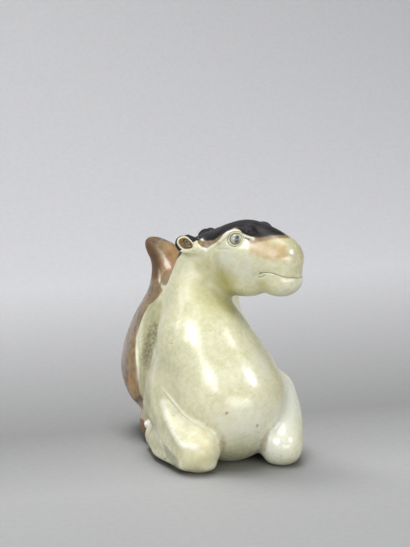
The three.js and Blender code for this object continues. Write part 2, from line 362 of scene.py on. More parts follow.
HUMP_EDGE = [(-8.2, 16.2, 40.4), (-8, 15.4, 39.6), (-7.9, 14.7, 38.4), (-8.1, 14, 37.1),
             (-8.5, 13.3, 35.7)]
TAIL = [(1.5, 26, 31), (1.8, 28, 26), (2.6, 28.6, 21), (4.4, 28.2, 16.5), (6.2, 27.2, 13.8)]
TUFT = [(6.6, 27, 13.4), (7.6, 26.4, 12.2)]
WORN_STONE = [(-17.5, -11.5, 4.8), (-17.2, -15.5, 3.6), (-16.5, -20, 3.2)]
print("points along the foreleg's edge:", len(FORELEG_EDGE), "and the haunch's:", len(HAUNCH_EDGE))

# %% [markdown]
# ## More stone under the fine lines
# A line half a millimetre wide cannot be cut in squares of the same size. A finer skin all over
# would be heavy, so only the squares near the lines are divided, and those at the eyes, the ears
# and the sharpest lines once more. A short grind takes off the marks that the dividing leaves.

# %% Divide the skin near the lines
def divide(wanted):
    """Divides the squares whose corners are all wanted, once each way."""
    pick(stone, wanted)
    bpy.ops.mesh.subdivide(number_cuts=1, smoothness=0.5)
    bpy.ops.object.mode_set(mode="OBJECT")
    print("squares now:", len(stone.data.polygons))

def both_sides(names):
    return [on_head(HEAD_LINES[name], side) for name in names for side in (1, -1)]

def marked(jobs):
    """True for each vertex that is nearer to a path than the reach given with it."""
    points = places()
    hit = np.zeros(len(points), dtype=bool)
    for path, reach in jobs:
        hit |= gap(points, path) < reach
    return hit

eyes = [on_head([EYE], side) for side in (1, -1)]
ears = [on_head([(-2.6, 6.4, 50.4), (0.4, 6.2, 50.4)], side) for side in (1, -1)]
sharp_lines = both_sides([name for name in HEAD_LINES if name not in CHEEK_FOLDS + ["jaw"]])
soft_lines = both_sides(CHEEK_FOLDS)
body_lines = [FORELEG_EDGE, FORELEG_GROOVE, FAR_LEG_GROOVE, HAUNCH_EDGE, mirror(HAUNCH_EDGE), HUMP_EDGE]
divide(marked([(line, 1.3) for line in sharp_lines] + [(line, 0.7) for line in soft_lines]
              + [(spot, 3.2) for spot in eyes] + [(line, 3.2) for line in ears]
              + [(line, 1.2) for line in body_lines] + [(WORN_STONE, 2.6), (TAIL + TUFT, 2.9)]))
divide(marked([(line, 0.55) for line in sharp_lines] + [(spot, 2.5) for spot in eyes]
              + [(line, 2.3) for line in ears] + [(line, 0.6) for line in (FORELEG_EDGE, HUMP_EDGE)]))
grind(0.4 * marked([(line, 1.3) for line in sharp_lines]), 4)
grind(marked([(spot, 2.6) for spot in eyes] + [(line, 2.3) for line in ears]).astype(float), 10)

# %% [markdown]
# ## Moving the skin
# Everything that is cut or raised from here on is the same act: some skin moves in or out by about
# a millimetre at most. Sculpt brushes need a hand, so a Displace modifier moves the skin by its
# weight in a vertex group. What gathers on the skin, such as dirt in a groove and the shade painted
# into grooves and overhangs, is kept as a layer of values for the painting later.

# %% Push
stone_layers = {}

def layer(name):
    """The values of one painted layer, stain or painted light, one for each vertex, which start at 0."""
    return stone_layers.setdefault(name, np.zeros(len(stone.data.vertices)))

def gather(name, values):
    """Adds to a layer: each vertex keeps the strongest value that it has been given."""
    np.maximum(layer(name), values, out=layer(name))

def push(weights, height, way=None):
    """Moves the skin out by height times each vertex's weight, along its normals or one way."""
    ways = [("NORMAL", 1)] if way is None else [(axis, share) for axis, share in zip("XYZ", way) if share]
    for axis, share in ways:
        modifier = stone.modifiers.new("push", "DISPLACE")
        modifier.direction = axis
        modifier.mid_level = 0
        modifier.strength = height * float(share) * MM
        with_group(modifier, weights)

def hill(x, middle, width):
    """1 where x is at the middle, and softly down to 0 at the width on either side of it."""
    return ease(1 - np.abs(x - middle) / width)

print("ready to push", len(stone.data.vertices), "vertices")

# %% [markdown]
# ## Cutting and raising lines
# A small diamond wheel cuts a groove that is deepest along its middle and runs out at its ends. The
# same helper raises a line when its height is above zero, as if the stone beside it had been
# lowered. The drawn points are joined by a smooth curve laid on the skin, so that the wheel never
# leaves the stone.

# %% Carve
BATCH = 2000

def curved(path, spacing=0.15):
    """Points on a smooth curve through the drawn points, laid on the skin."""
    path = np.array(path, dtype=float)
    ends = np.vstack([2 * path[0] - path[1], path, 2 * path[-1] - path[-2]])
    line = []
    for a, b, c, d in zip(ends[:-3], ends[1:-2], ends[2:-1], ends[3:]):
        steps = max(int(np.linalg.norm(c - b) / spacing), 2)
        for t in np.arange(steps) / steps:
            line.append(0.5 * (2 * b + (c - a) * t + (2 * a - 5 * b + 4 * c - d) * t ** 2
                               + (3 * b - a - 3 * c + d) * t ** 3))
    line.append(path[-1])
    return np.array([stone.closest_point_on_mesh(Vector(p) * MM)[1] for p in line]) * 1000

def carve(path, width, height, run_out=0.25, dirt=0.0):
    """A groove, or a raised line where height is above zero. Width is from middle to edge,
    run_out is the share of the line over which each end fades, and the last value is the dirt and painted
    shade laid in it."""
    line = curved(path)
    share = np.linspace(0, 1, len(line))
    full = ease(np.minimum(share, 1 - share) / run_out)
    points = places()
    in_reach = np.all((points > line.min(0) - width) & (points < line.max(0) + width), axis=1)
    numbers = np.flatnonzero(in_reach)
    weights = np.zeros(len(points))
    for batch in np.array_split(numbers, max(len(numbers) // BATCH, 1)):
        away = np.linalg.norm(points[batch][:, None] - line[None], axis=2)
        weights[batch] = ease(1 - away.min(1) / width) * full[away.argmin(1)]
    push(weights, height)
    if dirt:
        gather("dirt", weights * dirt)

print("points on the mouth's curve:", len(curved(on_head(HEAD_LINES["mouth"]))))

# %% [markdown]
# ## Eyes
# Each eye is a low polished ball in an almond hollow, with thin lids cut round it. The hollow is
# sunk, the ball is raised, and then rings are cut and raised in turn from the ball outwards. The
# rings are drawn from an angle, longer than high and a little pointed at the brow and at the back
# corner. The front half of each ball is darkened as a painted reflection of the dark room.

# %% Eyes
OUT = {side: tuple(OUTWARD * side) for side in (1, -1)}
EYE_LENGTH = 1.12
BALL_RADIUS = 1.08
GROOVES_ROUND_EYE = (1.22, 1.66)
LIDS = [(GROOVES_ROUND_EYE[0], 0.20, -0.24), (1.46, 0.20, 0.24), (GROOVES_ROUND_EYE[1], 0.18, -0.18),
        (1.90, 0.28, 0.12)]

def seen_on_cheek(middle, side):
    """How far each vertex is ahead of and above a point of the head, and if it is on that cheek."""
    points = places() - POLL
    return points @ FORWARD - middle[0], points[:, 2] - middle[2], points @ OUTWARD * side > 2.5

for side in (1, -1):
    ahead, above, here = seen_on_cheek(EYE, side)
    turn = np.arctan2(above, ahead / EYE_LENGTH)
    to_brow, to_back = np.maximum(np.cos(turn - 0.7), 0), np.maximum(np.cos(turn - 3.6), 0)
    pointed = 1 + 0.18 * to_brow ** 6 + 0.12 * to_back ** 6
    ring = np.where(here, np.hypot(ahead / EYE_LENGTH, above) / pointed, 9)
    ball = np.sqrt(np.clip(1 - (ring * pointed / BALL_RADIUS) ** 2, 0, 1))
    push(ease((2.1 - ring) / 0.9), -0.35, OUT[side])
    push(ball, 0.85, OUT[side])
    for radius, width, height in LIDS:
        push(hill(ring, radius, width), height, OUT[side])
    gather("eye", ease(ball * 2.2))
    # painted reflection: the dark front half of each ball
    gather("pupil", ease(ball * 2.2) * ease((ahead + 0.6) / 1.3) * 0.62)
    gather("dirt", hill(ring, GROOVES_ROUND_EYE[0], 0.22))
    gather("dirt", 0.8 * hill(ring, GROOVES_ROUND_EYE[1], 0.22))
print("right eye at, mm:", np.round(eyes[0][0], 1))

# %% [markdown]
# ## Brows, and the ridges between eye and ear
# Over the front of each eye is a smooth oval brow, with a dark line under it. A thin pale ridge
# runs down and back from the eye, meets another that comes from the ear, and the two end in a
# point. They are raised lines, so they catch the light.

# %% Brows and ridges
BROW = (14, 4.4, 54.3)
BROW_SIZE = (2.2, 2, 1.5)

for side in (1, -1):
    points = places() - np.array(on_head([BROW], side)[0])
    oval = np.sqrt((points @ FORWARD / BROW_SIZE[0]) ** 2 + (points @ OUTWARD / BROW_SIZE[1]) ** 2
                   + (points[:, 2] / BROW_SIZE[2]) ** 2)
    push(ease(1.15 - oval), 0.6)
    lines = {name: on_head(drawn, side) for name, drawn in HEAD_LINES.items()}
    carve(lines["ridge_behind_eye"], 0.44, 0.30, run_out=0.2)
    carve(lines["ridge_from_ear"], 0.44, 0.26, run_out=0.2)
    carve(lines["groove_under_eye"], 0.30, -0.18, dirt=0.6)
    carve(lines["under_brow"], 0.32, -0.30, dirt=1.0)
    carve(lines["streak_by_eye"], 0.30, 0.24)
    carve(lines["front_of_eye"], 0.26, -0.26, dirt=1.0)
print("right brow at, mm:", np.round(on_head([BROW])[0], 1))

# %% [markdown]
# ## Ears
# The ears are small cupped leaves that lie back. The crown is lowered between them and their roots
# are built up, then each cup is sunk, its rim is raised, and a spiral line is cut inside, as
# carvers mark the folds of an ear. The leaf is an oval tilted by 16 degrees and drawn out towards
# the cheek, and every step on the ear is measured in it.

# %% Ears
CUP = (-1.3, 6.4, 50.4)
BETWEEN_EARS = [(-2.2, -9.2, 53.1)]
EAR_ROOT = [(-0.4, 5.2, 51.2), (1.1, 4.9, 51.1)]
TILT_COS, TILT_SIN = 0.961, 0.276
COIL_SPACING = 0.36

def ear_leaf(side):
    """0 in the middle of the ear's cup and 1 on its edge, and how far along and across it is."""
    ahead, above, here = seen_on_cheek(CUP, side)
    along, across = TILT_COS * ahead - TILT_SIN * above, TILT_SIN * ahead + TILT_COS * above
    long = np.where(along > 0, 3.0, 2.8)
    high = np.where(across > 0, 1.95, 2.1) * (1 - 0.35 * np.clip(along / 3.0, 0, 1))
    return np.where(here, np.hypot(along / long, across / high), 9), along, across

push(near(BETWEEN_EARS, 3.6, 3), -0.4, (0, 0, 1))
for side in (1, -1):
    root = on_head(EAR_ROOT, side)
    push(near(root, 2.2, 1.4), 0.65, (0, 0, 1))
    grind(near(root, 3.6, 1.0), 6)
    leaf, along, across = ear_leaf(side)
    push(ease((0.70 - leaf) / 0.3), -0.75, OUT[side])
    push(hill(leaf, 0.70, 0.09), 0.22, OUT[side])
    push(hill(leaf, 0.90, 0.14), 0.28, OUT[side])
    coil = leaf * 1.45 - np.arctan2(across, -along) / (2 * math.pi) * COIL_SPACING
    lines_in_cup = hill((coil / COIL_SPACING) % 1, 0.5, 0.5) * ease((0.60 - leaf) / 0.12)
    push(lines_in_cup, -0.22, OUT[side])
    gather("dirt", 0.9 * lines_in_cup)
print("vertices in the two cups:", sum(int((ear_leaf(side)[0] < 0.7).sum()) for side in (1, -1)))

# %% [markdown]
# ## Muzzle and cheeks
# The mouth is one thin cut that climbs over a small bump near its corner and runs round the
# front of the muzzle, with a short crease at the corner. The nostrils are short slanting cuts,
# a wide shallow groove parts the jaw from the neck, and three faint folds cross each cheek.

# %% Mouth, nostrils and cheeks
mouth = on_head(HEAD_LINES["mouth"]) + on_head(HEAD_LINES["mouth"], -1)[-2::-1]
carve(mouth, 0.27, -0.34, run_out=0.06, dirt=0.8)
for side in (1, -1):
    lines = {name: on_head(drawn, side) for name, drawn in HEAD_LINES.items()}
    carve(lines["jaw"], 1.9, -0.40, run_out=0.3)
    carve(lines["mouth_corner"], 0.26, -0.22, dirt=0.9)
    carve(lines["nostril"], 0.28, -0.30, dirt=0.45)
    for fold in CHEEK_FOLDS:
        carve(lines[fold], 0.24, -0.07, dirt=0.25)
print("mouth cut, with", len(mouth), "points")

# %% [markdown]
# ## Near foreleg
# The near foreleg is folded flat under the breast. The hollows behind both elbows are ground soft,
# and the near elbow is pushed out as far as the solid's box leaves room. The leg's top is dished, a
# fold runs over the shank to the knee, and a thin raised line edges the leg beside a soft groove.

# %% Foreleg
HALF_WIDTH = 18.0
ELBOW = [(-16.4, -6.5, 11.6), (-17, -8.8, 9.8)]
ELBOW_HOLLOW = [(-17.2, -7, 9.6), (-16.5, -9.5, 8.8), (-17.4, -13, 7.6)]
UNDER_ELBOW = [(-16.6, -4.5, 6), (-17.3, -8, 7.5)]
FORELEG_TOP = [(-15.2, -16.2, 15.8), (-14, -19.4, 12.9), (-12.8, -22.6, 10.8), (-11, -25.2, 9.5)]
FORELEG_OUTER = [(-17.3, -16, 10.8), (-17.1, -19, 8.6), (-16.8, -21.8, 6.6), (-16, -24.6, 4.9)]
FORELEG_FOLD = [(-16.2, -15.6, 14.6), (-16.2, -18.2, 12.4), (-16.1, -20.4, 10.9), (-15.8, -22.7, 9.2),
                (-15.2, -25, 7.6), (-14.2, -26.6, 6.8), (-12, -27.6, 6.9)]
OUTER_SOLE = [(-17.2, -12, 0.8), (-16.8, -16, 0.8), (-16.2, -20, 0.8), (-15, -24.5, 0.8)]
INNER_SOLE = [(-9.4, -27.4, 0.9), (-7.6, -26.4, 0.9)]

for side in (1, -1):
    hollow = [(side * x, y, z) for x, y, z in ELBOW_HOLLOW]
    grind(near(hollow, 5.5, 2.5), 50)
room_left = np.clip(places()[:, 0] + HALF_WIDTH, 0, 0.95) / 0.95
push(near(ELBOW, 4.2, 3.4) * room_left, 0.95, (-1, 0, 0))
grind(near(UNDER_ELBOW, 4.0, 1.5), 12)
carve(FORELEG_TOP, 2.2, -0.50, run_out=0.3)
carve(FORELEG_OUTER, 2.0, -0.25, run_out=0.35)
carve(FORELEG_FOLD, 1.8, 0.60, run_out=0.3)
push(near(OUTER_SOLE, 2.8, 2.2), 0.85, (-0.8, -0.6, 0))
push(near(INNER_SOLE, 2.4, 2.0), 0.6, (0.6, -0.8, 0))
grind(near(OUTER_SOLE, 4.0, 2.0), 14)
carve(FORELEG_GROOVE, 1.9, -0.12, run_out=0.35, dirt=0.12)
carve(FORELEG_EDGE, 0.52, 0.20, run_out=0.25)
print("widest to the camel's right, mm:", round(float(places()[:, 0].min()), 2))

# %% [markdown]
# ## Haunch, hump and far leg
# The haunch overlaps the flank with a crisp edge that ends in a small notch above the hind foot,
# and a little knob stands in front of that foot. The dark laid into that edge and notch is painted
# shade, where the haunch overhangs the flank and the foot. The rear hump's corner is drawn out
# and its front has a short keel. The hidden haunch gets the same edge without the notch, and the
# far foreleg a deeper groove beside it.

# %% Haunch and hump
HAUNCH_TIP = [(-15.5, 5.8, 11.6), (-15.4, 6.6, 9.6), (-15.8, 9, 8.3), (-15.6, 11.5, 8.2)]
HUMP_CORNER = [(-10, 18.5, 48)]
KNOB = (-14.9, 1.3, 4.9)

# painted shade: dark in the notch under the band's end
carve(HAUNCH_TIP, 1.0, -0.55, run_out=0.3, dirt=0.5)
push(near(HUMP_CORNER, 4.5, 3.5), 0.8, (-0.9, 0, 0.4))
push(near([KNOB], 1.4, 1.1), 1.1, (-0.85, -0.40, 0.40))
carve(FAR_LEG_GROOVE, 2.0, -0.25, run_out=0.4, dirt=0.3)
# painted shade: dark along the haunch's overhanging edge, on both sides
carve(HAUNCH_EDGE, 0.9, -0.26, run_out=0.3, dirt=0.25)
carve(mirror(HAUNCH_EDGE), 0.9, -0.3, run_out=0.3, dirt=0.25)
carve(HUMP_EDGE, 0.6, 0.3, run_out=0.35)
print("top of the rear hump, mm:", round(float(places()[places()[:, 1] > 10][:, 2].max()), 2))

# %% [markdown]
# ## Tail
# The tail can't be seen in the photograph. On a pebble carving it lies on the rump in low relief,
# so that nothing can break off, and it ends in a tuft. It is made the way relief is cut: the stone
# beside it is lowered along a ring, and the tail itself hardly moves. The cut fades out upwards,
# where the tail grows out of the rump.

# %% Tail
from_tail = np.minimum(gap(places(), curved(TAIL)[::8]), gap(places(), TUFT) - 0.7)
fades_up = ease((30.0 - places()[:, 2]) / 5.0)
push(hill(from_tail, 1.7, 0.9) * fades_up, -0.42)
push(ease((1.3 - from_tail) / 0.8) * fades_up, 0.10)
for aside in (-0.8, 0, 0.8):
    carve([(x + aside, y, z + 0.6 * aside) for x, y, z in TUFT], 0.42, -0.22, run_out=0.4, dirt=0.2)
print("skin lowered beside the tail:", int((hill(from_tail, 1.7, 0.9) * fades_up > 0.5).sum()), "vertices")

# %% [markdown]
# ## Pits and a chip
# Low on the near leg is a worn patch with small natural pits and one chipped spot. The pits are
# thrown like dice round four places, with a fixed seed so that they always fall the same, and laid
# on the skin. Last, all the skin that nearly touches the ground is pressed flat onto it, as on a
# lapping plate.

# %% Pits, chip and flat base
PITS = 46
PIT_PLACES = np.array([(-17.4, -12.5, 4.6), (-17.1, -15.5, 3.4), (-16.7, -18.5, 3.2), (-16.3, -20.5, 2.6)])
PIT_SPREAD = (0.2, 1.4, 1.1)
CHIP = [(-17, -17.4, 5.6), (-16.9, -18.2, 4.2), (-16.6, -18.6, 2.6)]
NEARLY_DOWN = 0.12

dice = np.random.default_rng(7)
pits = PIT_PLACES[dice.integers(0, len(PIT_PLACES), PITS)] + dice.normal(0, PIT_SPREAD, (PITS, 3))
pits = np.array([stone.closest_point_on_mesh(Vector(p) * MM)[1] for p in pits]) * 1000
depths = dice.uniform(0.4, 1.0, PITS)
widths = dice.uniform(0.30, 0.60, PITS)
skin = places()
dents = [depth * ease(1 - gap(skin, pit) / width) for pit, depth, width in zip(pits, depths, widths)]
push(np.max(dents, axis=0), -0.22)
carve(CHIP, 0.8, -0.35, run_out=0.3)
pick(stone, places()[:, 2] < NEARLY_DOWN)
bpy.ops.transform.resize(value=(1, 1, 0), center_override=(0, 0, 0))
bpy.ops.object.mode_set(mode="OBJECT")
print("vertices on the ground:", int((places()[:, 2] == 0).sum()))

# %% [markdown]
# ## A soft brush
# A jade pebble has a weathered skin, brown to black, and the carver left it where it suits the
# animal. An image wrapped round the stone would smear, so its extent is painted on the piece
# itself, one value for each vertex and kind of stain. Some layers also hold painted shade, painted
# highlights and painted reflections. The material later breaks up the soft strokes with noise.

# %% Brush
skin = places()
normals = np.empty(len(skin) * 3, dtype=np.float32)
stone.data.vertex_normals.foreach_get("vector", normals)
normals = normals.reshape(-1, 3).astype(float)

def paint(name, path, radius, soft, strength=1.0):
    """A brush stroke along a path: full within the radius, gone after the soft width."""
    gather(name, strength * near(path, radius + soft, soft))

def wipe(name, path, radius, soft):
    layer(name)[:] *= 1 - near(path, radius + soft, soft)

print("vertices to paint:", len(skin))

# %% [markdown]
# ## Black crown
# The blackest skin lies over the crown like a cap, from the neck to the top of the muzzle. Its edge
# dips behind the ear and rises over the eye. A stroke can't follow that, so the edge is written as
# a height for each place along the head.

# %% Crown
CROWN_EDGE = {"at": [-7, -4, -1, 1, 3, 5, 7, 8.5, 10.3, 12.3, 14, 16.3, 23],
              "up": [44, 47, 50.0, 51.4, 50.9, 51.3, 52.5, 53.6, 54.6, 54.1, 52.7, 52.9, 53.0]}

forward, outward, up = (skin - POLL) @ FORWARD, (skin - POLL) @ OUTWARD, skin[:, 2]
above_edge = up - np.interp(forward, CROWN_EDGE["at"], CROWN_EDGE["up"])
behind_front_end = 21.6 - 0.9 * np.abs(outward) - forward
on_crown = ease(above_edge / 1.1 + 0.5) * ease(behind_front_end / 2.6 + 0.5) * (gap(skin, HEAD_LINE) < 13)
gather("crown", on_crown * ease((forward + 9) / 5))
print("skin under the black crown:", int((on_crown > 0.5).sum()), "vertices")

# %% [markdown]
# ## Ears and the lines by the eye
# On each ear the back and the upper rim are black and the cup is warm brown. A brown edge also
# follows the crown from the ear to the eye and on over the muzzle. The raised lines by the eye were
# ground through the dark skin, so they are wiped clean and painted pale; on the streak in front of
# the eye the white is partly a painted highlight.

# %% Ears and pale lines
EAR_MIDDLE = [(-1.6, 6, 50.6)]
EAR_CORNER = [(-0.3, 6.2, 50.1), (0, 6.2, 49.8)]
BROWN_TO_EYE = [(1.2, 5.2, 50.5), (3, 5, 50.2), (4.6, 5.2, 50.4), (6, 5.2, 51.2), (7.3, 5.2, 52.2)]
BROWN_ON_MUZZLE = [(15.5, 5, 52.9), (17.2, 4.2, 53.3), (19.5, 2, 53.7), (21.4, 0, 53.7)]

for side in (1, -1):
    leaf, along, across = ear_leaf(side)
    near_ear = near(on_head(EAR_MIDDLE, side), 4.4, 0.8)
    faces_out = ease((normals @ OUTWARD * side + 0.05) / 0.3)
    upper_rim = ease((leaf - 0.75) / 0.08) * ease((across + 1.6 - 1.2 * along) / 0.7)
    layer("crown")[:] = layer("crown") * (1 - near_ear) + near_ear * np.maximum(1 - faces_out, upper_rim)
    gather("warm_edge", ease((0.68 - leaf) / 0.08))
    gather("dirt", 0.40 * ease((0.66 - leaf) / 0.1))
    paint("dirt", on_head(EAR_CORNER, side), 0.3, 0.7, 0.9)
    paint("warm_edge", on_head(BROWN_TO_EYE, side), 0.3, 1.3)
    paint("warm_edge", on_head(BROWN_ON_MUZZLE, side), 0.4, 2.0)
    for pale in ("ridge_behind_eye", "ridge_from_ear", "streak_by_eye"):
        wipe("crown", on_head(HEAD_LINES[pale], side), 0.16, 0.4)
        wipe("warm_edge", on_head(HEAD_LINES[pale], side), 0.16, 0.4)
        # partly painted highlight: the white on the streak in front of the eye
        paint("white", on_head(HEAD_LINES[pale], side), 0.12, 0.45, 0.85)
for spot in eyes:
    wipe("crown", spot, 2.1, 0.5)
print("warm brown on the head:", int((layer("warm_edge") > 0.5).sum()), "vertices")

# %% [markdown]
# ## Face
# The muzzle has a tan blush below the crown's edge and the cheek is paler than the neck. The top
# of the nose is greyer, partly painted shade, and a green tinge along the jaw is partly painted
# shade under it. These strokes are wide and weak, because the stone changes colour slowly there.

# %% Face
for side in (1, -1):
    paint("tan", on_head([(16.5, 5.5, 50.9), (19, 5.2, 50.2), (22, 4.4, 49.8)], side), 0.4, 3.4)
    paint("tan", on_head([(23.5, 2.5, 50.5), (24.8, 0, 47), (23.5, 2.5, 43)], side), 0.5, 3.5, 0.4)
    paint("warm", on_head([(18, 4, 52.8), (22, 2.5, 52.8)], side), 1.0, 2.5, 0.6)
    # partly painted shade: grey on the top of the nose
    paint("flank", on_head([(19.5, 3.6, 51.8), (22.5, 2.4, 51.2), (23.8, 1, 50.5)], side), 1.5, 3.5, 0.7)
    paint("white", on_head([(9, 6.5, 47.5), (13, 6.5, 46.5)], side), 1.0, 5.0, 0.5)
    paint("flank", on_head([(9, 6.5, 47.5), (13, 6.5, 46.5)], side), 1.0, 5.0, 0.4)
    # partly painted shade: green along the jaw
    paint("olive", on_head(HEAD_LINES["jaw"], side), 0.2, 2.0, 0.8)
paint("white", on_head([(22, 0, 41.5), (19, 0, 41.5)]), 3.0, 3.0, 0.5)
# partly painted shade: ochre in the crease behind the jaw
paint("crevice", on_head([(6, 6, 44.5), (7.5, 6.5, 42.5), (10, 6.2, 41)]), 0.3, 2.0, 0.3)
print("tan on the muzzle:", int((layer("tan") > 0.5).sum()), "vertices")

# %% [markdown]
# ## Brown hump and haunch
# The largest piece of the pebble's skin covers the rear hump and runs down as a band over the
# haunch. It is darker at the hump's outer corner and amber where it thins out. The greyish lilac
# along its rim is a painted reflection of the pale backdrop. On the hidden side the brown is
# guessed: it fades out over the rump.

# %% Hump and haunch
paint("rind", [(-7.6, 18.5, 47), (-6, 18.5, 44), (-4.5, 18, 41), (-6, 17.5, 38), (-8.5, 17.5, 34)],
      5.1, 1.6)
paint("rind", [(-9.6, 17, 35.5), (-12.4, 15.6, 30), (-14.6, 15.2, 26), (-16.4, 13.6, 21.5)], 2.6, 1.0)
paint("rind", [(-16.6, 13.4, 21.5), (-17.2, 11.2, 17.4), (-17, 9.3, 13), (-16.2, 9, 9.8)], 3.1, 0.8)
paint("rind", [(-14, 21, 27), (-14, 24, 20)], 5.0, 4.0, 0.8)
paint("rind", [(-2.5, 21, 41), (-0.5, 22.5, 36), (0.5, 24.5, 31)], 0.6, 4.5, 0.75)
paint("rind", [(-6, 23.5, 41), (-7, 25.5, 36), (-8, 27, 31)], 0.8, 4.0, 0.75)
wipe("rind", [(-7.2, 12, 36.6), (-6.5, 12.2, 38.4)], 0.8, 0.9)
paint("rind", [(0.6, 17.5, 42), (2.3, 18.5, 40), (3.5, 17.5, 38.2), (4.6, 18.8, 36.4)], 0.8, 3.2, 0.85)
paint("rind", [(0.8, 15.5, 41), (2.6, 14.2, 39)], 0.3, 2.2, 0.7)
paint("dark_rind", [(-8, 18.5, 49.5), (-10.2, 18.5, 46.5), (-9.8, 18.2, 43), (-8.6, 17, 39.5)], 1.5, 2.6)
paint("dark_rind", [(-6.2, 12.8, 38.9), (-7.4, 12.2, 37.5)], 0.6, 1.4, 0.9)
paint("amber", [(-6, 13, 42.5), (-5.5, 12.6, 40)], 1.5, 3.5, 0.8)
paint("amber", [(-4.9, 13.7, 41.7), (-3.2, 16.8, 45.1)], 1.0, 2.0, 0.9)
paint("amber", [(-16.6, 8.8, 14.5), (-16.2, 8.2, 10.5)], 0.5, 2.0, 0.9)
paint("amber", [(-15.6, 12.3, 23.2)], 0.4, 1.0, 0.8)
# painted reflection: greyish lilac along the band's rim and the hump's outline
paint("lilac", [(-15, 13.5, 25), (-16.6, 12.4, 20), (-17, 11, 16.5)], 0.5, 2.0, 0.4)
paint("lilac", [(-9.5, 18.5, 41), (-11.5, 16.5, 35.5), (-14.2, 15.5, 30), (-17, 14, 22),
                (-18, 12.5, 16)], 0.8, 2.0, 0.8)
print("brown skin:", int((layer("rind") > 0.5).sum()), "vertices")

# %% [markdown]
# ## Hind foot
# Under the band's end sits the hind foot, dark brown at its sole and grey above, with the small
# knob in front. The foot is painted first, and the knob is wiped clean and given a painted white
# highlight. A dark line of painted shade lies under the band's end.

# %% Hind foot
KNOB_TOP = (-15.9, 0.9, 5.3)
paint("hind_foot", [(-16.2, 4.2, 3.2), (-15.2, 2, 2)], 1.9, 0.8)
paint("foot_grey", [(-14.9, 6.5, 6.9), (-15.2, 3.3, 5.6)], 2.0, 1.2, 0.9)
for brown_or_grey in ("hind_foot", "foot_grey"):
    wipe(brown_or_grey, [KNOB, KNOB_TOP], 1.0, 0.4)
# painted highlight: the white spot on the knob
paint("nub_white", [KNOB, KNOB_TOP], 0.65, 0.4)
# painted shade: a dark line under the band's end, above the hind foot
paint("dirt", [(-15.8, 11, 9), (-15.3, 9.6, 8.4), (-15, 7.9, 8.8), (-14.7, 6.2, 9.9)], 0.1, 1.0, 0.7)
print("brown sole:", int((layer("hind_foot") > 0.5).sum()), "vertices")

# %% [markdown]
# ## Greyer and whiter stone, with painted shade and a painted highlight
# Nephrite is seldom one colour. The flank between neck and haunch is grey-green, partly painted
# shade, with a dark speckled streak. The weaker grey over the shoulder and the near leg is painted
# shade. The far knee, the breast's front and the chip are milky white, and the white line along
# the fold of the near leg is a painted highlight.

# %% Flank and legs
paint("flank_spots", [(-11.4, 6.8, 26.6), (-12.8, 6.3, 23), (-13.5, 5.5, 19.5)], 0.8, 3.4)
# partly painted shade: grey-green on the flank
paint("flank", [(-11, 10, 31), (-12.2, 8, 27), (-12.8, 6.3, 23), (-14.2, 4.9, 16),
                (-15, 3.5, 11)], 1.5, 2.5)
# painted shade: grey over the shoulder and the near leg's side, fold and top
paint("flank", [(-14.3, -15.4, 20.9), (-13.7, -17.3, 17.3)], 1.0, 3.5, 0.35)
paint("flank", [(-15.5, -12, 22), (-15.9, -14.8, 16.1)], 1.0, 3.5, 0.45)
paint("flank", [(-17, -6.5, 20), (-17.8, -8.5, 14.5), (-17.5, -8, 8)], 0.8, 3.5, 0.75)
paint("flank", FORELEG_OUTER, 0.6, 2.4, 0.4)
paint("flank", FORELEG_FOLD[:4], 1.0, 3.0, 0.4)
paint("flank", FORELEG_TOP, 1.0, 2.5, 0.35)
# painted highlight: a white line along the fold of the near leg
paint("white", FORELEG_FOLD, 0.3, 1.0, 0.6)
paint("white", [(14, -14, 13), (11, -20, 8), (9, -24, 5)], 3.0, 5.0, 0.8)
paint("white", [(-3, -27, 12), (3, -27, 11), (7, -25, 12)], 2.0, 6.0, 0.5)
paint("white", [(3, -25, 22), (7, -21, 25)], 1.0, 6.0, 0.4)
paint("white", CHIP, 0.3, 0.4)
print("grey-green stone:", int((layer("flank") > 0.5).sum()), "vertices")

# %% [markdown]
# ## Greener and warmer stone, and painted shade
# A green tinge lies under the throat and on the neck, partly painted shade. Where the legs meet
# the breast, and under the belly between the knees, the creases are ochre brown, partly stain and
# partly painted shade. Two small ochre spots sit on the breast, and the stone is warmer round
# them. Most of this is weak, so it is painted with wide soft edges.

# %% Throat and breast
# partly painted shade: green under the throat and on the neck
paint("olive", [(-1.4, -16, 44), (-1.5, -15, 40), (0.5, -15.4, 37)], 0.5, 5.0)
paint("olive", [(-4.8, -12.1, 45), (-6.5, -12, 40), (-4, -15, 36)], 0.5, 5.0, 0.6)
paint("olive", [(-6.8, -10.9, 43.1), (-7.6, -12.2, 40)], 0.8, 4.0, 0.45)
paint("olive", [(6.5, -21.8, 41.3)], 0.5, 3.5, 0.7)
# partly painted shade: ochre in the creases by the legs and under the belly
paint("crevice", [(-4.9, -25.3, 9.3), (-4.9, -25.3, 6.5), (-4.7, -24.6, 4)], 0.3, 1.3, 0.9)
paint("crevice", [(5.6, -25, 9), (5.2, -25.2, 6.5), (5.3, -24.6, 4)], 0.3, 1.4, 0.9)
paint("crevice", [(-5.5, -25.2, 3), (0, -23, 2), (5.5, -24.5, 3)], 0.5, 2.2, 0.5)
paint("crevice", FORELEG_GROOVE[1:], 0.2, 1.1, 0.35)
paint("ochre", [(-4.6, -27.4, 14.1)], 0.15, 0.45)
paint("ochre", [(2.7, -27.6, 10.6)], 0.1, 0.7, 0.8)
paint("warm", [(8, -18, 30), (9, -21, 22), (6, -26, 14)], 1.0, 6.0, 0.45)
paint("warm", [(-4, -27, 14), (-9, -27, 8), (-11, -27.5, 4)], 1.0, 4.5, 0.6)
print("stained grooves:", int((layer("crevice") > 0.5).sum()), "vertices")

# %% [markdown]
# ## Worn places
# Polish never reached some creases, and wear has dulled the patch low on the near leg, which is
# greyer too. One layer says where the gloss is lower, and a second where the fine pits are. A
# little dirt sits in the chip.

